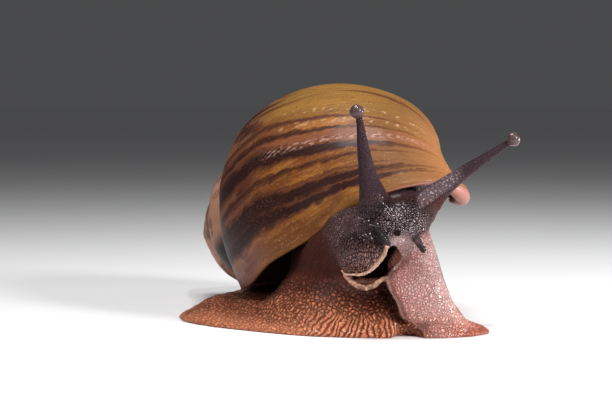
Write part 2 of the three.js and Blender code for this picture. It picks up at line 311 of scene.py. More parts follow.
shellShape = {
    "apex": (-44.6, 81.6, 14.6),
    "axis": (0.735, -0.66, 0.156),  # apex to base
    "lipSide": (-0.637, -0.75, -0.177),  # from the axis to the outer lip
    # sizes in millimetres, places along the shell in turns from its lip, places round the tube in turns
    "length": 92.8,
    "lastGrowth": 2.0,  # growth in a turn of the last whorl
    "spireGrowth": 1.5,  # growth in a turn of the others
    "spireWidening": {"share": 0.12, "at": -1.05, "width": 0.08},
    "sectionHeight": 30.9,  # of the tube at the lip, from its middle
    "sectionWidth": 18.3,
    "sectionOffset": 16.7,
    "sectionTilt": 0.18,
    "columella": 1.1,
    "columellaBlend": 1.5,
    "lipSlant": -0.365,
    # set back at the first place, forward at the second
    "lipWave": {"at": (-0.068, 0.012), "turns": 0.0034, "width": 0.03, "fade": 0.05},
    "underside": {"share": 0.25, "at": -0.75, "width": 0.16},  # flatter there
    "wall": 1.1,
    "bead": {
        "places": [0.06, 0.17, 0.25, 0.32, 0.37],
        "thickness": [0.05, 0.2, 0.9, 1, 0.5],  # shares of the radius
        "radius": 1.7,
        "sunk": 0.8,  # share of the radius that is inside the tube
        "drop": 1.3,
        "spots": 12,
    },
    "whorls": 6.6,
    "innerTurns": 0.16,  # how far in the inside is made
    "lipAt": (0.93, 0.945),  # shares of the faces along it where the rounded lip starts and ends
    "lastRound": 200,  # length of the last whorl, once round the axis
    "lastRadius": 35,  # from the axis to the middle of its surface
    "tubeRound": 160,  # girth of the tube at the lip
    # waves of the relief: their length along the coil, how many go round the tube, and their height
    "lines": {"length": 0.9, "round": 2.5, "height": 0.07, "seed": 3.1},
    "folds": {"length": 4.5, "round": 3, "height": 0.16, "seed": 7.7},
    "dents": {"length": 9, "round": 14, "height": 0.2, "seed": 1.3},
    "across": 112,  # faces round the tube
    "along": 760,  # faces along it
}


def tubeScale(turns, shape):
    last = shape["lastGrowth"] ** np.maximum(turns, -1)
    spire = shape["spireGrowth"] ** (np.minimum(turns, -1) + 1)
    return last * spire


def softMax(a, b, blend):
    return 0.5 * (a + b + np.sqrt((a - b) ** 2 + blend ** 2))


def shellPoints(turns, around, outward, shape):
    # points of the shell's tube, in metres. turns counts from the lip, around is in turns round the tube,
    # and outward is how far a point stands out of the plain tube, in millimetres
    axis = Vector(shape["axis"]).normalized()
    side = Vector(shape["lipSide"])
    side = (side - axis * side.dot(axis)).normalized()
    basis = np.array([side, axis.cross(side), axis])
    scale = tubeScale(turns, shape)
    tilt = shape["sectionTilt"]
    wide = (shape["sectionWidth"] + outward / scale) * np.cos(2 * pi * around)
    high = (shape["sectionHeight"] + outward / scale) * np.sin(2 * pi * around)
    out = shape["sectionOffset"] + wide * cos(tilt) - high * sin(tilt)
    rise = wide * sin(tilt) + high * cos(tilt)
    lip, under, spire = shape["lipWave"], shape["underside"], shape["spireWidening"]
    dip, tongue = (hill(around, at, lip["width"]) for at in lip["at"])
    wave = lip["turns"] * (tongue - dip) * np.exp(np.minimum(turns, 0) / lip["fade"])
    turned = turns + shape["lipSlant"] * rise / shape["sectionHeight"] / (2 * pi) + wave
    grown = tubeScale(turned, shape)
    flat = 1 - under["share"] * hill(turned, under["at"], under["width"])
    stout = 1 + spire["share"] / (1 + np.exp((turned - spire["at"]) / spire["width"]))
    radius = softMax(out * flat * stout, shape["columella"], shape["columellaBlend"]) * grown
    reach = np.hypot(shape["sectionHeight"] * cos(tilt), shape["sectionWidth"] * sin(tilt))
    middle = shape["length"] - reach
    angle = 2 * pi * turned
    local = np.stack([radius * np.cos(angle), radius * np.sin(angle), (middle + rise) * grown], -1)
    return (local @ basis + np.array(shape["apex"])) * mm + np.array(zeroPoint)


def makeBead(shape):
    # the thick rounded lip at the base of the mouth
    bead = shape["bead"]
    spread = np.linspace(bead["places"][0], bead["places"][-1], bead["spots"])
    radii = bead["radius"] * np.interp(spread, bead["places"], bead["thickness"])
    line = shellPoints(np.zeros(bead["spots"]), spread, -bead["sunk"] * radii, shape)
    line = (line - np.array(zeroPoint)) / mm - np.outer(radii / bead["radius"], (0, 0, bead["drop"]))
    piece = taperedTube("bead", [tuple(spot) for spot in line], list(radii))
    keep(piece, "bead", np.ones(len(piece.data.vertices)))
    return piece


def makeShell(shape):
    bpy.ops.mesh.primitive_grid_add(x_subdivisions=shape["across"], y_subdivisions=shape["along"], size=1)
    shell = bpy.context.object
    shell.name = "shell"
    flat = points(shell)
    around = flat[:, 0] + 0.0  # the seam is on the columella, out of sight
    run = flat[:, 1] + 0.5
    lip, inside = shape["lipAt"]
    turns = np.interp(run, [0, 0.07, 0.18, 0.37, lip, inside, 1],
                      [-shape["whorls"], -4, -2, -1, 0, 0, -shape["innerTurns"]])
    roll = np.clip((run - lip) / (inside - lip), 0, 1) * pi
    turns = turns + np.sin(roll) * shape["wall"] / 2 / shape["lastRound"]
    outward = -(1 - np.cos(roll)) * shape["wall"] / 2
    # growth lines and shallow dents, as relief
    scale = tubeScale(turns, shape)
    # millimetres along the coil, from its start to each point
    length = 2 * pi * shape["lastRadius"] / np.log(shape["lastGrowth"]) * scale
    lines, folds, dents = shape["lines"], shape["folds"], shape["dents"]
    relief = np.zeros(len(run))
    for index, (far, beside, size) in enumerate(zip(length, around, scale)):
        line = noise.noise(Vector((far / lines["length"], beside * lines["round"], lines["seed"])))
        fold = noise.noise(Vector((far / folds["length"], beside * folds["round"], folds["seed"])))
        dent = noise.noise(Vector((far / dents["length"], beside * dents["round"] * size, dents["seed"])))
        relief[index] = lines["height"] * line + folds["height"] * fold + dents["height"] * dent
    # none near the apex, inside the lip or at the seam
    relief *= np.clip(scale * 2.5, 0, 1) * (run < lip) * step(np.abs(around), 0.495, 0.44)
    where = shellPoints(turns, around, outward + relief, shape)
    # both ends close to a point
    firstRow = run < 0.5 / shape["along"]
    lastRow = run > 1 - 0.5 / shape["along"]
    where[firstRow] = where[firstRow].mean(0)
    where[lastRow] = where[lastRow].mean(0)
    movePoints(shell, where)
    keep(shell, "turns", turns)
    keep(shell, "around", around)
    keep(shell, "inside", np.clip((run - lip) / 0.015, 0, 1))
    # millimetres over the surface, along the coil and across it
    growth = np.stack([length, around * shape["tubeRound"] * scale, np.zeros(len(run))], 1)
    mark = shell.data.attributes.new("growth", "FLOAT_VECTOR", "POINT")
    mark.data.foreach_set("vector", growth.astype(np.float32).ravel())
    shell.data.attributes.new("bead", "FLOAT", "POINT")
    only(shell)
    bpy.ops.object.mode_set(mode="EDIT")
    bpy.ops.mesh.select_all(action="SELECT")
    bpy.ops.mesh.remove_doubles(threshold=1e-6)
    bpy.ops.mesh.normals_make_consistent(inside=False)
    bpy.ops.object.mode_set(mode="OBJECT")
    shell = join([shell, makeBead(shape)])
    only(shell)
    bpy.ops.object.shade_smooth()
    return shell


shell = makeShell(shellShape)
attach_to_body(shell, "root")
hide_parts("shell_upper_whorls", "shell_penultimate_whorl", "shell_body_whorl")
print("shell made:", len(shell.data.polygons), "faces")


skinShape = {
    "swell": 0.15,  # how far the frame's flesh is fattened, so that its parts grow together
    "firstVoxel": 0.5,  # millimetres between points, before the mouth is cut
    "firstSmooth": 14,
    "voxel": 0.3,  # millimetres between points where the skin is fine
    "smooth": 5,
    "thin": {"hidden": 0.05, "sole": 0.02, "rear": 0.3},  # shares of the faces that are kept
    "rearFrom": 16,
    "footMiddle": (-14, 30),
    "rimSteps": 180,
    "tubercles": 0.28,  # height of the mosaic, in millimetres
}
neckTrim = {
    "inward": 1.9,
    "wing": {"at": -41, "width": 3, "rise": 0.34},
    "dip": {"at": -35, "width": 2.5, "rise": -0.12},
}
stalks = {
    "right": {
        "line": [(-3.6, 5.6, 22.6), (-5.0, 4.6, 27.2), (-5.8, 3.9, 30.3), (-6.7, 3.0, 34.2),
                 (-7.6, 2.3, 39.6), (-8.3, 1.6, 45.0)],
        "radii": [4.6, 3.5, 2.5, 1.75, 1.3, 0.84],
    },
    "left": {
        "line": [(1.0, 6.0, 23.2), (5.2, 4.9, 26.8), (9.0, 3.8, 30.3), (12.4, 2.8, 33.0), (17.0, 1.5, 36.2),
                 (22.3, 0.3, 39.9)],
        "radii": [4.6, 3.3, 2.0, 1.6, 1.22, 0.84],
    },
}
feelers = {
    "right": {
        "line": [(-4.9, 2.0, 22.0), (-3.9, -1.1, 21.0), (-2.2, -2.6, 19.1)],
        "radii": [1.0, 0.72, 0.62],
    },
    "left": {
        "line": [(2.2, 1.6, 21.4), (3.2, -0.7, 20.1), (4.8, -2.1, 17.5)],
        "radii": [1.5, 0.95, 0.62],
    },
}
lumps = {
    "head": {"middle": (-0.4, 6.4, 21.6), "radii": (6.8, 6.0, 5.2), "turn": 0},
    "brow": {"middle": (0.6, 6.8, 24.3), "radii": (7.2, 4.6, 3.0), "turn": 0},
    "snout": {"middle": (-0.4, 3.2, 20.6), "radii": (4.8, 3.6, 3.2), "turn": 0},
    "jaw": {"middle": (-7.6, 6.6, 17.6), "radii": (7.4, 5.2, 8.0), "turn": 15},
    "lobe": {"middle": (-6.9, 2.8, 17.4), "radii": (5.2, 4.4, 5.0), "turn": 22},
    "lobeTop": {"middle": (-5.6, 4.4, 21.0), "radii": (5.8, 4.2, 4.0), "turn": 20},
    "lobeTip": {"middle": (-4.6, 1.6, 18.4), "radii": (3.4, 3.0, 3.6), "turn": 30},
    "chin": {"middle": (-6.6, 2.2, 11.6), "radii": (4.8, 3.2, 2.0), "turn": 0},
    "cheek": {"middle": (3.4, 4.4, 18.0), "radii": (3.8, 4.2, 4.4), "turn": -10},
    "nape": {"middle": (0.6, 12.0, 26.4), "radii": (6.4, 5.5, 3.5), "turn": 0},
}
drape = {
    "height": [-0.8, 0.9, 1.8, 2.9, 3.8, 4.7, 7.1, 9.3, 11.7, 13.3, 15.5, 17.5, 20],
    "left": [6.6, 5.2, 3.9, 2.4, 0.4, 0.0, -0.7, -2.1, -2.9, -2.1, 0.0, 1.0, 2.5],
    "right": [18.4, 18.2, 16.4, 14.6, 13.3, 12.2, 10.9, 9.8, 8.7, 8.0, 7.3, 6.7, 6.1],
    "front": [3.4, 2.0, 1.2, 0.6, 0.1, -0.2, -0.6, -0.7, -0.5, -0.3, 0.1, 0.9, 2.4],
    "depth": 6,
    "taper": 5,
    "corners": (4.5, 3.0),  # how square its section is at the left and right edge
    # the hollow beside its free edge and the swelling of that edge, in millimetres from the edge
    "folds": [{"at": -0.9, "width": 0.9, "depth": 1.7}, {"at": 1.0, "width": 1.0, "depth": 0.9}],
}
palate = {"middle": (-0.4, 2.2, 16.2), "radii": (1.5, 1.5, 3.3), "turn": 32}
lowerLip = {
    "line": [(-11.5, 0.9, 12.8), (-10.1, -0.4, 11.6), (-8.7, -1.1, 10.7), (-6.9, -1.3, 10.3),
             (-5.3, -1.0, 10.7), (-4.1, -0.4, 11.5), (-3.0, 0.6, 12.3)],
    "radii": [0.25, 0.42, 0.55, 0.6, 0.58, 0.46, 0.3],
}
lobeRim = {
    "line": [(-11.8, 0.8, 13.9), (-11.2, -0.2, 13.1), (-9.6, -1.1, 13.0), (-7.8, -1.4, 13.1),
             (-6.1, -1.3, 13.8), (-4.5, -1.1, 15.2), (-3.2, -0.9, 16.9), (-2.6, -0.6, 18.5)],
    "radii": [0.25, 0.32, 0.38, 0.42, 0.42, 0.4, 0.38, 0.3],
}
mouth = {
    "outline": [(-11.6, 12.9), (-9.7, 12.6), (-7.9, 12.7), (-5.9, 13.4), (-4.2, 14.9), (-2.9, 16.8),
                (-2.3, 18.4), (-1.2, 18.8), (0.1, 17.4), (0.2, 16.3), (-0.8, 15.1), (-2.1, 13.9),
                (-2.9, 12.4), (-4.5, 11.9), (-6.9, 11.7), (-9.4, 12.0)],
    "front": -6,
    "back": 7,
}


def lump(name, middle, radii, turn):
    bpy.ops.mesh.primitive_uv_sphere_add(segments=48, ring_count=32, radius=mm, location=place(middle),
                                         rotation=(0, radians(turn), 0), scale=radii)
    piece = bpy.context.object
    piece.name = name
    settle(piece)
    return piece


def makeDrape(shape):
    # the sheet of foot that hangs from the mouth to the floor on the animal's left
    bpy.ops.mesh.primitive_uv_sphere_add(segments=64, ring_count=48, radius=1)
    piece = bpy.context.object
    unit = points(piece)
    rise = np.arcsin(np.clip(unit[:, 2], -1, 1)) / (pi / 2)
    girth = np.sqrt(np.clip(1 - np.abs(rise) ** shape["taper"], 0, 1))
    height = np.interp(rise, [-1, 1], [shape["height"][0], shape["height"][-1]])
    left = np.interp(height, shape["height"], shape["left"])
    right = np.interp(height, shape["height"], shape["right"])
    front = np.interp(height, shape["height"], shape["front"])
    angle = np.arctan2(unit[:, 1], unit[:, 0])
    c, s = np.cos(angle), np.sin(angle)
    square = np.where(c < 0, *shape["corners"])
    reach = (np.abs(c) ** square + np.abs(s) ** square) ** (-1 / square) * girth
    where = np.stack([(left + right) / 2 + (right - left) / 2 * c * reach,
                      front + shape["depth"] + shape["depth"] * s * reach, height], -1)
    movePoints(piece, where * mm + np.array(zeroPoint))
    return piece


def makeMouthCutter(shape):
    # a slab of the mouth's outline, from in front of the face to the back of the mouth
    outline = [place((x, shape["front"], z)) for x, z in shape["outline"]]
    bpy.ops.mesh.primitive_circle_add(vertices=len(outline), radius=mm, fill_type="NGON")
    cutter = bpy.context.object
    cutter.name = "mouthCutter"
    movePoints(cutter, np.array(outline))
    bpy.ops.object.mode_set(mode="EDIT")
    bpy.ops.mesh.select_all(action="SELECT")
    depth = (shape["back"] - shape["front"]) * mm
    bpy.ops.mesh.extrude_region_move(TRANSFORM_OT_translate={"value": (0, depth, 0)})
    bpy.ops.mesh.select_all(action="SELECT")
    bpy.ops.mesh.normals_make_consistent(inside=False)
    bpy.ops.object.mode_set(mode="OBJECT")
    settle(cutter)
    return cutter


def copyNode(name):
    piece = bpy.data.objects.new("skin_" + name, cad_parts[name].data.copy())
    bpy.context.collection.objects.link(piece)
    only(piece)
    bpy.ops.object.mode_set(mode="EDIT")
    bpy.ops.mesh.select_all(action="SELECT")
    bpy.ops.mesh.remove_doubles(threshold=1e-6)
    bpy.ops.transform.shrink_fatten(value=skinShape["swell"] * mm)
    bpy.ops.object.mode_set(mode="OBJECT")
    return piece


flesh = ["mantle", "neck", "foot_front_right", "foot_front_left", "foot_middle", "foot_tail"]
detailNodes = ["head", "lip_lower", "lip_right", "lip_left", "eye_stalk_right", "eye_stalk_left",
               "feeler_right", "feeler_left"]


def remesh(piece, size):
    modifier = piece.modifiers.new("voxels", "REMESH")
    modifier.mode = "VOXEL"
    modifier.voxel_size = size * mm
    finishModifiers(piece)


def smooth(piece, rounds):
    modifier = piece.modifiers.new("smooth", "SMOOTH")
    modifier.iterations = rounds
    finishModifiers(piece)


def makeSkin():
    pieces = [copyNode(name) for name in flesh]
    pieces += [taperedTube("stalk_" + side, **stalk) for side, stalk in stalks.items()]
    pieces += [lump(name, **lumpShape) for name, lumpShape in lumps.items()]
    pieces += [makeDrape(drape)]
    skin = join(pieces)
    skin.name = "skin"
    skin.data.materials.clear()
    remesh(skin, skinShape["firstVoxel"])
    smooth(skin, skinShape["firstSmooth"])
    cutter = makeMouthCutter(mouth)
    boolean = skin.modifiers.new("mouth", "BOOLEAN")
    boolean.operation = "DIFFERENCE"
    boolean.solver = "EXACT"
    boolean.object = cutter
    finishModifiers(skin)
    bpy.data.objects.remove(cutter)
    details = [taperedTube("feeler_" + side, **feeler) for side, feeler in feelers.items()]
    details += [taperedTube("lowerLip", **lowerLip), taperedTube("lobeRim", **lobeRim)]
    details += [lump("palate", **palate)]
    skin = join([skin] + details)
    remesh(skin, skinShape["voxel"])
    smooth(skin, skinShape["smooth"])
    return skin


def thinOut(piece, where, share):
    # fewer faces where little shows
    mesh = piece.data
    only(piece)
    mesh.vertices.foreach_set("select", where)
    mesh.edges.foreach_set("select", np.zeros(len(mesh.edges), bool))
    mesh.polygons.foreach_set("select", np.zeros(len(mesh.polygons), bool))
    bpy.ops.object.mode_set(mode="EDIT")
    bpy.ops.mesh.select_mode(type="VERT")
    bpy.ops.mesh.decimate(ratio=share)
    bpy.ops.mesh.select_all(action="DESELECT")
    bpy.ops.object.mode_set(mode="OBJECT")


def snailPoints(piece):
    # a piece's points in millimetres from the snail's zero
    return (points(piece) - np.array(zeroPoint)) / mm


def insideShell(piece):
    tree = BVHTree.FromObject(shell, bpy.context.evaluated_depsgraph_get())
    ways = ((0, 0, 1), (1, 0, 0.2), (-1, -0.3, 0.2), (0.2, 1, 0.2), (-0.2, -1, 0.3))
    rays = [Vector(way).normalized() for way in ways]
    spots = [vertex.co for vertex in piece.data.vertices]
    return np.array([all(tree.ray_cast(spot, ray)[0] for ray in rays) for spot in spots])


def rimCoordinate(where, middle, steps):
    # millimetres along the edge of the foot and inwards from it, for every point
    x, y = where[:, 0] - middle[0], where[:, 1] - middle[1]
    angle = np.arctan2(y, x)
    away = np.hypot(x, y)
    slot = ((angle / (2 * pi) + 0.5) * steps).astype(int) % steps
    reach = np.zeros(steps)
    np.maximum.at(reach, slot, away)
    reach = np.append(reach, reach[0])
    turnAt = (np.arange(steps + 1) - steps / 2) * 2 * pi / steps
    edge = np.stack([reach * np.cos(turnAt), reach * np.sin(turnAt)], 1)
    run = np.concatenate([[0], np.cumsum(np.hypot(*np.diff(edge, axis=0).T))])
    return np.interp(angle, turnAt, run), np.interp(angle, turnAt, reach) - away


def lineDistance(where, line):
    found = np.full(len(where), 1e9)
    ends = np.array(line, dtype=float)
    for first, last in zip(ends[:-1], ends[1:]):
        along = last - first
        share = np.clip((where - first) @ along / max(along @ along, 1e-9), 0, 1)
        found = np.minimum(found, np.linalg.norm(where - first - share[:, None] * along, axis=1))
    return found


def insideOutline(x, z, outline):
    inside = np.zeros(len(x), bool)
    for (x1, z1), (x2, z2) in zip(outline, outline[1:] + outline[:1]):
        crosses = (z1 > z) != (z2 > z)
        inside ^= crosses & (x < (x2 - x1) * (z - z1) / (z2 - z1 + 1e-12) + x1)
    return inside


def trimNeck(where, trim):
    # the neck narrows on the animal's right, and the foot's wing stands up at its end and dips before it
    x, y, z = where.T
    beside = step(x, -12, -18) * step(x, -27, -22) * step(z, 9, 14) * step(z, 27, 21) * step(y, 26, 16)
    rise = 1
    for bump in (trim["wing"], trim["dip"]):
        rise = rise + bump["rise"] * hill(x, bump["at"], bump["width"])
    return np.stack([x + trim["inward"] * beside, y, z * rise], -1)


def freeDrapeEdge(where, shape):
    # the sheet stands clear of the foot behind it along its left edge
    x, y, z = where.T
    beside = x - np.interp(z, shape["height"], shape["left"])
    reach = step(z, 1.5, 4.0) * step(z, 14.5, 12.5) * step(y, 6.5, 4.5)
    hollow, swelling = (fold["depth"] * hill(beside, fold["at"], fold["width"]) for fold in shape["folds"])
    return np.stack([x, y + reach * (hollow - swelling), z], -1)


def markSkin(piece, where):
    # zones that follow the shapes, kept on the points
    x, y, z = where.T
    run, inward = rimCoordinate(where, skinShape["footMiddle"], skinShape["rimSteps"])
    left = np.interp(z, drape["height"], drape["left"])
    edge = np.where(z < 4, left, np.minimum(left, np.interp(z, [16.4, 17.8], [0.6, -1.0])))
    depth = 2.6 + 1.9 * np.maximum(x - edge, 0) + 2.4 * step(z, 14, 16) - y
    top = 19.6 + 0.45 * np.maximum(x - 3, 0)
    sheet = step(x - edge, -0.3, 0.2) * step(depth, -0.6, 0.8)
    sheet = sheet * step(z, top + 1.8, top - 1.0) * step(y, 26, 12)
    pale = np.minimum(lineDistance(where, lobeRim["line"]), lineDistance(where, lowerLip["line"]))
    dark = np.minimum(*(lineDistance(where, feeler["line"]) for feeler in feelers.values()))
    inMouth = insideOutline(x, z, mouth["outline"])
    behind = step(left - x, -0.1, 0.3) * step(left - x, 2.6, 0.6) * step(z, 1.5, 4) * step(z, 13, 11.5)
    # a thin strip along the sheet's free edge, where a highlight is painted
    edgeHighlight = step(x - edge, -0.1, 0.1) * step(x - edge, 0.75, 0.35) * step(z, 1.0, 3.0) * step(z, 16, 14)
    marks = {
        "rim": run,
        "inward": inward,
        "drape": sheet,
        "drapeEdge": sheet * step(x - edge, 4.5, 0.3) * step(z, 17, 14),
        "edgeHighlight": sheet * edgeHighlight,
        "crease": behind * step(y, 8, 6),
        "lipEdge": step(pale, 0.72, 0.3),
        "feeler": step(dark, 1.15, 0.85) * step(y, 0.6, -0.6),
        "mouth": inMouth * step(y, 0.0, 1.2) * step(y, 9, 8),
        "palate": step(lineDistance(where, [(-1.5, 1.6, 14.6), (0.4, 1.6, 17.6)]), 2.3, 1.4) * inMouth,
    }
    for name, values in marks.items():
        keep(piece, name, values)


skin = makeSkin()
print("skin grown together:", len(skin.data.polygons), "faces")
thin = skinShape["thin"]
thinOut(skin, insideShell(skin), thin["hidden"])
thinOut(skin, snailPoints(skin)[:, 2] < 0.1, thin["sole"])
home = snailPoints(skin)
thinOut(skin, (home[:, 1] > skinShape["rearFrom"]) & (home[:, 2] > 0.1), thin["rear"])
home = snailPoints(skin)
home[:, 2] = np.maximum(home[:, 2], 0)
home = trimNeck(home, neckTrim)
markSkin(skin, home)
movePoints(skin, freeDrapeEdge(home, drape) * mm + np.array(zeroPoint))
print("skin thinned:", len(skin.data.polygons), "faces")


def skinZones(start, p):
    # where each kind of skin is, from the place in millimetres and the marks on the points
    x, z = p.part(0), p.part(2)
    sheet = start.mark("drape")
    rest = 1 - sheet
    aboveMouth = (z + 0.25 * x.maths("MINIMUM", 0)).ease(18.9, 20.3)
    head = p.near((-0.8, 3, 23.2), (7.8, 8, 5.6), 0.3) * aboveMouth
    return {
        "foot": z.ease(13.5, 9.0),
        "fringe": start.mark("inward").ease(5.5, 3.4) * z.ease(5.8, 3.8) * rest,
        "drape": sheet,
        "lobe": p.near((-7.4, 0.5, 16.8), (5.6, 4.5, 5.0), 0.2) * rest,
        "head": head * rest,
        "stalk": z.ease(26.5, 30),
    }


def skinRelief(start, p, zones):
    # heights of the tubercles from 0 in the grooves to 1, and of the finest grains
    sway = p.noise(0.3, output=1)
    swayed = p.vector("ADD", sway.vector("MULTIPLY", (2.2, 2.2, 2.2)))
    fine = swayed.cells(1.9).ease(0.0, 0.32)
    mosaic = swayed.cells(1.15).ease(-0.04, 0.42) * (0.6 + 0.4 * fine)
    papillae = swayed.vector("MULTIPLY", (2.3, 2.3, 1.25)).cells(1.0).ease(0.02, 0.40)
    wrinkles = swayed.vector("MULTIPLY", (2.0, 2.0, 3.0)).cells(1.0).ease(0.0, 0.4)
    granules = p.cells(2.2, 0.85).ease(0.0, 0.32)
    grains = p.cells(2.5).ease(0.02, 0.28)
    # ridges that run down to the edge of the foot, leaning over on the animal's right, with beads on them
    lean = p.part(2) * p.part(0).ease(-5, -12) * 0.9
    across = (start.mark("rim") - lean) * 0.66 + sway.part(0) * 2.4
    ragged = (p.noise(0.9, 2.0) - 0.5) * 0.3
    ridges = (across.maths("PINGPONG", 0.5) + ragged).ease(-0.02, 0.40)
    fringe = ridges * (0.45 + 0.55 * mosaic)
    foot = mosaic.blend(fringe, zones["fringe"] * (0.35 + 0.55 * p.part(0).ease(-24, -14)))
    body = (wrinkles * 0.35 + grains * 0.25 + 0.35).blend(foot, zones["foot"])
    body = body.blend(granules, zones["head"])
    body = body.blend(swayed.cells(1.6).ease(-0.04, 0.42) * (0.6 + 0.4 * mosaic), zones["drape"])
    body = body.blend(papillae, zones["lobe"])
    return body, grains


def roughen(piece, height):
    tree = bpy.data.node_groups.new("tubercles", "GeometryNodeTree")
    tree.interface.new_socket("Geometry", in_out="INPUT", socket_type="NodeSocketGeometry")
    tree.interface.new_socket("Geometry", in_out="OUTPUT", socket_type="NodeSocketGeometry")
    start = Wire(tree)
    incoming = start.node("NodeGroupInput")
    spot = start.node("GeometryNodeInputPosition")
    normal = start.node("GeometryNodeInputNormal")
    p = spot.vector("SUBTRACT", tuple(zeroPoint)).vector("MULTIPLY", (1000, 1000, 1000))
    zones = skinZones(start, p)
    body = skinRelief(start, p, zones)[0]
    held = p.part(2).ease(0.05, 0.8) * (1 - 0.6 * start.mark("lipEdge")) * (1 - zones["stalk"])
    rise = (body - 0.6) * (height * mm) * held
    lift = start.node("ShaderNodeVectorMath", {"operation": "SCALE"}, {0: normal, "Scale": rise})
    moved = start.node("GeometryNodeSetPosition", None, {"Geometry": incoming, "Offset": lift})
    leaving = tree.nodes.new("NodeGroupOutput")
    tree.links.new(moved.socket, leaving.inputs[0])
    modifier = piece.modifiers.new("tubercles", "NODES")
    modifier.node_group = tree
    finishModifiers(piece)


roughen(skin, skinShape["tubercles"])
only(skin)
bpy.ops.object.shade_smooth()
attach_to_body(skin, "root")
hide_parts(*flesh, *detailNodes)
print("skin made:", len(skin.data.polygons), "faces")


eyeShape = {
    "radius": 1.46,
    "waist": 0.72,  # how much narrower the bulb is where it meets its stalk
    "lens": {"radius": 0.75, "rise": 0.12},  # the low dome at the tip
}


def makeEye(side):
    low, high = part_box("eye_" + side)
    middle = (Vector(low) + Vector(high)) / 2
    root = place(stalks[side]["line"][-2])
    radius = eyeShape["radius"]
    bpy.ops.mesh.primitive_uv_sphere_add(segments=64, ring_count=48, radius=radius * mm)
    eye = bpy.context.object
    eye.name = "eye" + side.capitalize()
    x, y, z = (points(eye) / mm).T
    narrow = 1 - (1 - eyeShape["waist"]) * step(z, 0, -radius)
    lens = eyeShape["lens"]
    dome = lens["rise"] * step(np.hypot(x, y), lens["radius"], 0) * (z > 0)
    movePoints(eye, np.stack([x * narrow, y * narrow, z + dome], -1) * mm)
    eye.location = middle
    eye.rotation_euler = (middle - root).to_track_quat("Z", "Y").to_euler()
    settle(eye)
    bpy.ops.object.shade_smooth()
    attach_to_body(eye, "root")
    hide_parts("eye_" + side)
    return eye


eyes = [makeEye(side) for side in stalks]
print("eyes made")


shellLook = {
    "bump": 0.3,  # millimetres
    "gold": (0.305, 0.110, 0.018),
    "brown": (0.160, 0.047, 0.010),
    "olive": (0.27, 0.140, 0.024),
    "amber": (0.145, 0.068, 0.023),
    "paleGold": (0.42, 0.22, 0.070),
    "wine": (0.19, 0.058, 0.032),
    "dark": (0.022, 0.006, 0.005),
    "rust": (0.105, 0.030, 0.013),
    "plum": (0.105, 0.044, 0.036),
    "palePlum": (0.27, 0.120, 0.100),
    "spire": (0.50, 0.245, 0.175),
    "cream": (0.38, 0.158, 0.060),
    # pale pink for painted glints on the shell
    "paintedSparkle": (0.50, 0.28, 0.21),
    "spots": (0.62, 0.40, 0.22),
    "lip": (0.40, 0.17, 0.14),
    # painted shade: near-black for the shadowed inside of the shell and the whorl behind its lip
    "inside": (0.016, 0.005, 0.004),
    # turns from the lip at the left, further turns gained to the right, half width in turns, strength
    "streaks": [
        (-0.054, 0.024, 0.0060, 0.95),
        (-0.038, 0.017, 0.0050, 1.0),
        (-0.105, 0.038, 0.0065, 1.0),
        (-0.078, 0.022, 0.0026, 0.7),
        (-0.129, 0.032, 0.0030, 0.8),
        (-0.147, 0.030, 0.0026, 0.65),
        (-0.063, 0.024, 0.0016, 0.5),
        (-0.115, 0.034, 0.0014, 0.4),
    ],
    # waves in a millimetre along the coil and across it, detail, roughness, distortion
    "noises": {
        "grain": (1.6, 0.10, 3.0, 0.65, 0),
        "threads": (4.2, 0.40, 2.0, 0.6, 0),
        "bands": (0.20, 0.014, 2.0, 0.5, 0),
        "patches": (0.22, 0.10, 3.0, 0.6, 0),
        "ragged": (0.55, 0.30, 3.0, 0.6, 0),
        "specks": (1.7, 0.9, 2.0, 0.5, 0),
        "granules": (3.4, 2.0, 2.0, 0.5, 0),
        "spots": (0.6, 0.55, 1.0, 0.5, 0),
        "further": (0.11, 0.016, 4.0, 0.65, 0.4),
    },
}


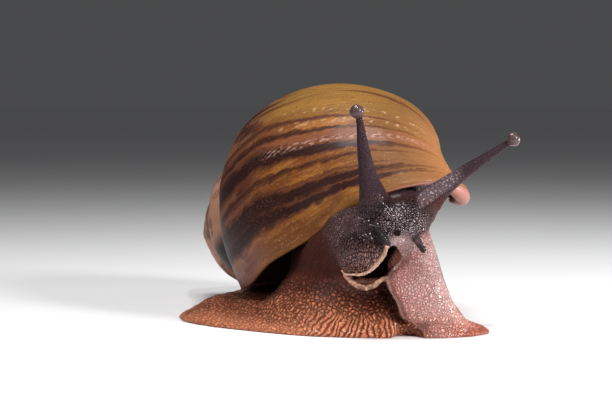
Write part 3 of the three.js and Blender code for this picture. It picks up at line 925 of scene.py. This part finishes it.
def paintShell(look):
    material, shader, start = startMaterial(
        "shellHorn", {"Coat Weight": 0.13, "Coat Roughness": 0.18, "IOR": 1.45, "Specular IOR Level": 0.14})
    turns, around, inside = start.mark("turns"), start.mark("around"), start.mark("inside")
    growth = start.node("ShaderNodeAttribute", {"attribute_name": "growth"}, None, 1)
    noises = {name: growth.vector("MULTIPLY", (along, across, 1)).noise(1.0, *rest)
              for name, (along, across, *rest) in look["noises"].items()}
    grain, threads, bands, patches, ragged, specks, granules, spots, further = noises.values()
    sideways = ((around + 0.06) / 0.23).maths("MINIMUM", 1).maths("MAXIMUM", 0)
    bend = 1 - (1 - sideways) ** 2
    aged = turns - bend * 0.03  # the same along one growth line

    toRight = around.ease(0.05, 0.17)
    browned = (bands + patches - 1).ease(-0.18, 0.08) * (0.9 - 0.45 * toRight)
    ground = start.mixOf(look["gold"], look["brown"], browned)
    ground = ground.mix(look["olive"], aged.ease(-0.135, -0.175) * (0.5 + 0.4 * bands))
    ground = ground.mix(look["amber"], around.ease(0.02, 0.16) * 0.85)
    pale = (grain * 0.35 + threads * 0.3 + granules * 0.35).ease(0.50, 0.64)
    ground = ground.mix(look["paleGold"], pale * (0.6 - 0.25 * toRight))
    ground = ground.mix(look["rust"], (grain * 0.4 + ragged * 0.3 + granules * 0.3).ease(0.49, 0.36) * 0.6)
    between = (turns - bend * 0.035 + 0.118).maths("ABSOLUTE").ease(0.013, 0.007)
    ground = ground.mix(look["wine"], between * (0.3 + 0.6 * ragged))
    toBase = around.ease(0.10, 0.24) * around.ease(0.42, 0.30)
    ground = ground.mix(look["cream"], toBase * 0.7)
    ground = ground.mix(look["spire"], turns.ease(-0.80, -0.95) * 0.75)
    # the purple-grey band along the suture
    suture = (around + (ragged - 0.5) * 0.05).ease(-0.035, -0.12) * around.ease(-0.45, -0.30)
    plum = start.mixOf(look["plum"], look["palePlum"], turns.ease(-0.10, -0.035))
    ground = ground.mix(plum, suture * (0.55 + 0.4 * patches.ease(0.4, 0.6)) * turns.ease(-0.95, -0.8))

    # dark growth streaks
    wander = (ragged - 0.5) * 0.013 + (grain - 0.5) * 0.006 + (specks - 0.5) * 0.003
    breadth = 1 - 0.45 * around.ease(0.0, 0.12) + 0.7 * around.ease(0.0, -0.06)
    fade = 1 - 0.55 * around.ease(0.05, 0.2)
    dark = 0 * turns
    for first, gain, width, strength in look["streaks"]:
        offset = (turns + wander - bend * gain - first).maths("ABSOLUTE") / breadth
        dark = dark.maths("MAXIMUM", offset.ease(width * 1.9, width * 0.3) * strength)
    onTop = turns.ease(-0.2, -0.3) * turns.ease(-0.6, -0.4)
    dark = dark.maths("MAXIMUM", further.ease(0.52, 0.62) * turns.ease(-0.16, -0.20) * (1 - 0.45 * onTop))
    dark = dark.maths("MAXIMUM", patches.ease(0.47, 0.60) * suture * (0.3 + 0.5 * turns.ease(-0.03, -0.09)))
    dark = dark * fade * (1 - toBase * 0.7) * (1 - 0.5 * turns.ease(-0.85, -1))
    fray = grain * 0.6 + threads * 0.5 + granules * 0.5 - 0.8
    frayed = dark + fray * dark.ease(0.02, 0.3)
    ground = ground.mix(look["rust"], frayed.ease(0.05, 0.45) * 0.8)
    ground = ground.mix(look["dark"], frayed.ease(0.38, 0.95) * 0.95)

    # painted sparkle: pale flecks between the streaks and pale grains on the purple band, standing in for
    # glints
    beside = (turns + wander * 0.5 - bend * 0.026 + 0.108).maths("ABSOLUTE").ease(0.007, 0.002)
    glintFlecks = beside * specks.ease(0.48, 0.60) * around.ease(-0.06, -0.04) * around.ease(0.24, 0.14)
    ground = ground.mix(look["paintedSparkle"], glintFlecks * 0.6)
    # two rows of pale spots along the growth lines on top: partly pale flecks, partly painted glints
    above = (turns + wander * 0.5 - bend * 0.03 + 0.140).maths("ABSOLUTE").ease(0.006, 0.002)
    above = above.maths("MAXIMUM", (turns - bend * 0.03 + 0.162).maths("ABSOLUTE").ease(0.006, 0.002))
    spots = spots.ease(0.54, 0.68) * above * around.ease(-0.05, -0.02) * around.ease(0.21, 0.15)
    ground = ground.mix(look["spots"], spots * 0.55)
    grainGlints = granules.ease(0.56, 0.70) * (around + 0.05).maths("ABSOLUTE").ease(0.05, 0.02)
    ground = ground.mix(look["paintedSparkle"], grainGlints * turns.ease(-0.17, -0.12) * 0.2)
    ground = ground.mix(look["cream"], turns.ease(-0.010, 0.0) * around.ease(0.04, 0.10) * 0.5)
    # painted shade: near-black inside the mouth, and where the whorl before runs in behind it
    shadeBehindLip = turns.ease(-1.06, -1.02) * turns.ease(-0.80, -0.88)
    shadeBehindLip = shadeBehindLip * around.ease(-0.30, -0.2) * around.ease(0.45, 0.3)
    ground = ground.mix(look["inside"], inside.maths("MAXIMUM", shadeBehindLip))
    ground = ground.mix(look["lip"], start.mark("bead") * 0.9)
    height = grain * 0.5 + ragged * 0.6 + threads * 0.25 + specks * 0.25 + granules * 0.3
    normal = bumpOf(start, height, 0.6, look["bump"] * mm)
    attach(material, shader, {"Base Color": ground, "Roughness": 0.40 + 0.2 * ragged, "Normal": normal})
    return material


shell.data.materials.append(paintShell(shellLook))


skinLook = {
    "bump": 0.9,  # millimetres
    "neck": (0.130, 0.028, 0.017),
    "brown": (0.34, 0.086, 0.046),
    "foot": (0.96, 0.320, 0.155),
    "fringe": (0.92, 0.320, 0.160),
    "tip": (0.68, 0.220, 0.145),
    "drape": (0.80, 0.475, 0.455),
    "drapePale": (0.96, 0.75, 0.73),
    "drapeLow": (0.98, 0.55, 0.46),
    "drapeEdge": (0.56, 0.26, 0.22),
    "edgeHighlight": (0.98, 0.60, 0.50),
    "head": (0.074, 0.040, 0.046),
    "temple": (0.16, 0.075, 0.068),
    "nape": (0.120, 0.058, 0.062),
    "lobe": (0.66, 0.300, 0.265),
    "frill": (0.86, 0.40, 0.26),
    "stalk": (0.080, 0.043, 0.056),
    "groove": (0.075, 0.040, 0.034),
    "furrow": (0.56, 0.39, 0.36),
    "grains": (0.60, 0.53, 0.55),
    "granules": (0.58, 0.400, 0.43),
    "muzzle": (0.98, 0.66, 0.66),
    "tops": (0.80, 0.50, 0.42),
    "rim": (1.0, 0.57, 0.40),
    "shadow": (0.024, 0.006, 0.004),
    "shade": (0.30, 0.20, 0.18),
    "mouth": (0.21, 0.066, 0.050),
    "feeler": (0.040, 0.024, 0.026),
    "feelerTipHighlight": (0.10, 0.075, 0.078),
}


def paintSkin(look):
    material, shader, start = startMaterial("wetSkin", {"Coat Roughness": 0.14, "IOR": 1.4,
                                                        "Specular IOR Level": 0.16})
    spot = start.node("ShaderNodeTexCoord", None, None, 3)
    p = spot.vector("SUBTRACT", tuple(zeroPoint)).vector("MULTIPLY", (1000, 1000, 1000))
    zones = skinZones(start, p)
    body, grains = skinRelief(start, p, zones)
    x, y, z = p.part(0), p.part(1), p.part(2)
    clouds = p.noise(0.12, 3.0, 0.55)
    mottle = p.noise(0.55, 3.0, 0.6)
    level = z + (clouds - 0.5) * 4
    colour = start.mixOf(look["foot"], look["brown"], level.ease(5.5, 10.0))
    colour = colour.mix(look["neck"], level.ease(9.0, 13.0))
    colour = colour.mix(look["fringe"], zones["fringe"])
    underChin = p.near((-5.0, 0, 7.6), (6.5, 7, 3.4), 0.5)
    colour = colour.mix(look["shade"], underChin, "MULTIPLY")
    nape = p.near((-8.5, 4, 23.0), (6.5, 10, 7.5), 0.5) * (1 - zones["drape"])
    colour = colour.mix(look["nape"], nape * 0.9)
    colour = colour.mix(look["stalk"], zones["stalk"])
    colour = colour.mix(look["head"], zones["head"] * (1 - zones["stalk"]))
    colour = colour.mix(look["temple"], p.near((6.0, 2, 23.0), (3.0, 6, 3.6), 0.5) * 0.8)
    colour = colour.mix(look["lobe"], zones["lobe"] * level.ease(20.5, 14.5))
    colour = colour.mix(look["frill"], zones["lobe"] * z.ease(15.2, 13.4))
    sheet = start.mixOf(look["drape"], look["drapePale"], (x * 0.09 + (mottle - 0.5) * 1.6).ease(0.1, 1.0))
    sheet = sheet.mix(look["drapeLow"], z.ease(10, 1))
    sheet = sheet.mix(look["drapeEdge"], (start.mark("drapeEdge") * 0.8 + (mottle - 0.55) * 0.7).ease(0, 1))
    colour = sheet.mix(colour, 1 - zones["drape"])
    colour = colour.mix(look["tip"], z.ease(4.0, 0.5) * x.ease(7, 15))
    # the grooves between the tubercles are darkened: partly darker skin, partly painted shade
    depth = 0.9 - 0.35 * zones["stalk"] - 0.35 * z.ease(3.5, 0.5) * x.ease(-12, -26)
    depth = depth + 0.1 * zones["lobe"].maths("MAXIMUM", zones["head"])
    groove = start.mixOf(look["groove"], look["furrow"], zones["drape"])
    colour = colour.mix(groove, (1 - body).ease(0.18, 0.95) * depth, "MULTIPLY")
    # paler tops of the tubercles: partly paler skin, partly painted highlight
    tops = body.ease(0.75, 1.0) * p.noise(0.7, 2.0).ease(0.40, 0.60)
    toned = zones["lobe"] * z.ease(19.5, 13.0) * 0.9 + zones["foot"] * 0.4 + x.ease(-2, -12) * 0.12
    colour = colour.mix(look["tops"], tops * toned)

    # pale grains between the stalks and on the nape, and a row of large ones on the left stalk: partly
    # paler granules, partly painted glints of the wet skin
    dots = p.dots(2.5, 0.9)
    chance = p.dots(2.5, 0.9, 1).part(0)
    field = p.near((0.6, 3, 23.2), (4.6, 8, 3.4), 0.4) * (1 - zones["drape"]) * zones["head"]
    colour = colour.mix(look["granules"], body.ease(0.45, 1.0) * field * (0.25 + 1.1 * mottle))
    beaded = nape * (1 - zones["lobe"]) * (1 - zones["head"]) * (1 - zones["stalk"])
    colour = colour.mix(look["granules"], grains.ease(0.5, 1.0) * mottle.ease(0.3, 0.65) * beaded * 0.6)
    # pale pink skin below the pit, lighter on the tubercles: partly the skin's own colour, partly painted
    # highlight
    muzzle = p.near((0.6, 0, 19.0), (3.0, 6, 2.1), 0.5)
    colour = colour.mix(look["muzzle"], muzzle * (0.3 + 0.7 * body))
    # a painted glint below the pit
    glintSpot = p.near((0.4, 0, 19.6), (1.6, 6, 1.3), 0.4)
    glintFlecks = dots.ease(0.34, 0.12) * (0.15 + 0.6 * chance) * field.maths("MAXIMUM", glintSpot)
    large = p.dots(1.7, 0.8).ease(0.42, 0.20)
    ridge = (z - 0.72 * x - 24.6).maths("ABSOLUTE").ease(2.1, 1.0) * x.ease(3.0, 4.5) * x.ease(13.5, 10)
    colour = colour.mix(look["granules"], ridge * 0.25)
    glintFlecks = glintFlecks.maths("MAXIMUM", large * ridge)
    colour = colour.mix(look["grains"], glintFlecks * 0.85)
    colour = colour.mix(look["shadow"], start.mark("crease") * 0.7)
    colour = colour.mix(look["shadow"], y.ease(12, 20) * x.ease(-10, -16) * z.ease(4.5, 7) * 0.8)
    crimp = p.noise(1.5, 2.0)
    # painted highlight along the free edge of the sheet
    colour = colour.mix(look["edgeHighlight"], start.mark("edgeHighlight") * (0.2 + 0.8 * crimp))
    colour = colour.mix(look["rim"], start.mark("lipEdge") * (crimp * 1.6 + 0.15))
    colour = colour.mix(look["feeler"], start.mark("feeler"))
    # painted highlight on the tips of the feelers
    colour = colour.mix(look["feelerTipHighlight"], start.mark("feeler") * y.ease(-2.2, -3.2) * 0.6)
    colour = colour.mix(look["shadow"], start.mark("mouth"))
    colour = colour.mix(look["mouth"], start.mark("mouth") * z.ease(13.2, 12.4) + start.mark("palate"))
    colour = colour.mix(look["shadow"], p.near((-0.7, 0, 21.3), (0.8, 6, 0.6), 0.3))
    height = body * 0.7 + grains * 0.3 * (1 - zones["foot"]) + glintFlecks * 0.3
    normal = bumpOf(start, height, 1.0, look["bump"] * mm)
    wet = zones["foot"].maths("MAXIMUM", zones["lobe"]).maths("MAXIMUM", zones["head"])
    wet = wet.maths("MAXIMUM", start.mark("feeler")) * (1 - 0.75 * underChin)
    attach(material, shader, {"Base Color": colour, "Roughness": 0.42 + 0.2 * clouds, "Normal": normal,
                              "Coat Weight": 0.05 + 0.32 * wet})
    return material


skin.data.materials.append(paintSkin(skinLook))


eyeLook = {
    "bulb": (0.080, 0.046, 0.048),
    "lens": (0.032, 0.018, 0.020),
    "lensFrom": 0.4,  # millimetres from the tip
    "lensTo": 0.9,
    "bump": 0.1,
}


def paintEye(look, eye, side):
    material, shader, start = startMaterial(
        "eyeBulb" + side.capitalize(),
        {"Roughness": 0.32, "Coat Weight": 0.4, "Coat Roughness": 0.06, "Specular IOR Level": 0.2})
    low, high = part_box("eye_" + side)
    middle = (Vector(low) + Vector(high)) / 2
    tip = middle + (middle - place(stalks[side]["line"][-2])).normalized() * eyeShape["radius"] * mm
    spot = start.node("ShaderNodeTexCoord", None, None, 3)
    away = spot.vector("SUBTRACT", tuple(tip)).vector("LENGTH", (0, 0, 0), "Value")
    cloud = spot.noise(900, 2.0)
    share = away.ease(look["lensTo"] * mm, look["lensFrom"] * mm) * 0.8 + (cloud - 0.5) * 0.5
    colour = start.mixOf(look["bulb"], look["lens"], share)
    normal = bumpOf(start, spot.noise(2500, 2.0), 0.15, look["bump"] * mm)
    attach(material, shader, {"Base Color": colour, "Normal": normal})
    eye.data.materials.append(material)


for eye, side in zip(eyes, stalks):
    paintEye(eyeLook, eye, side)
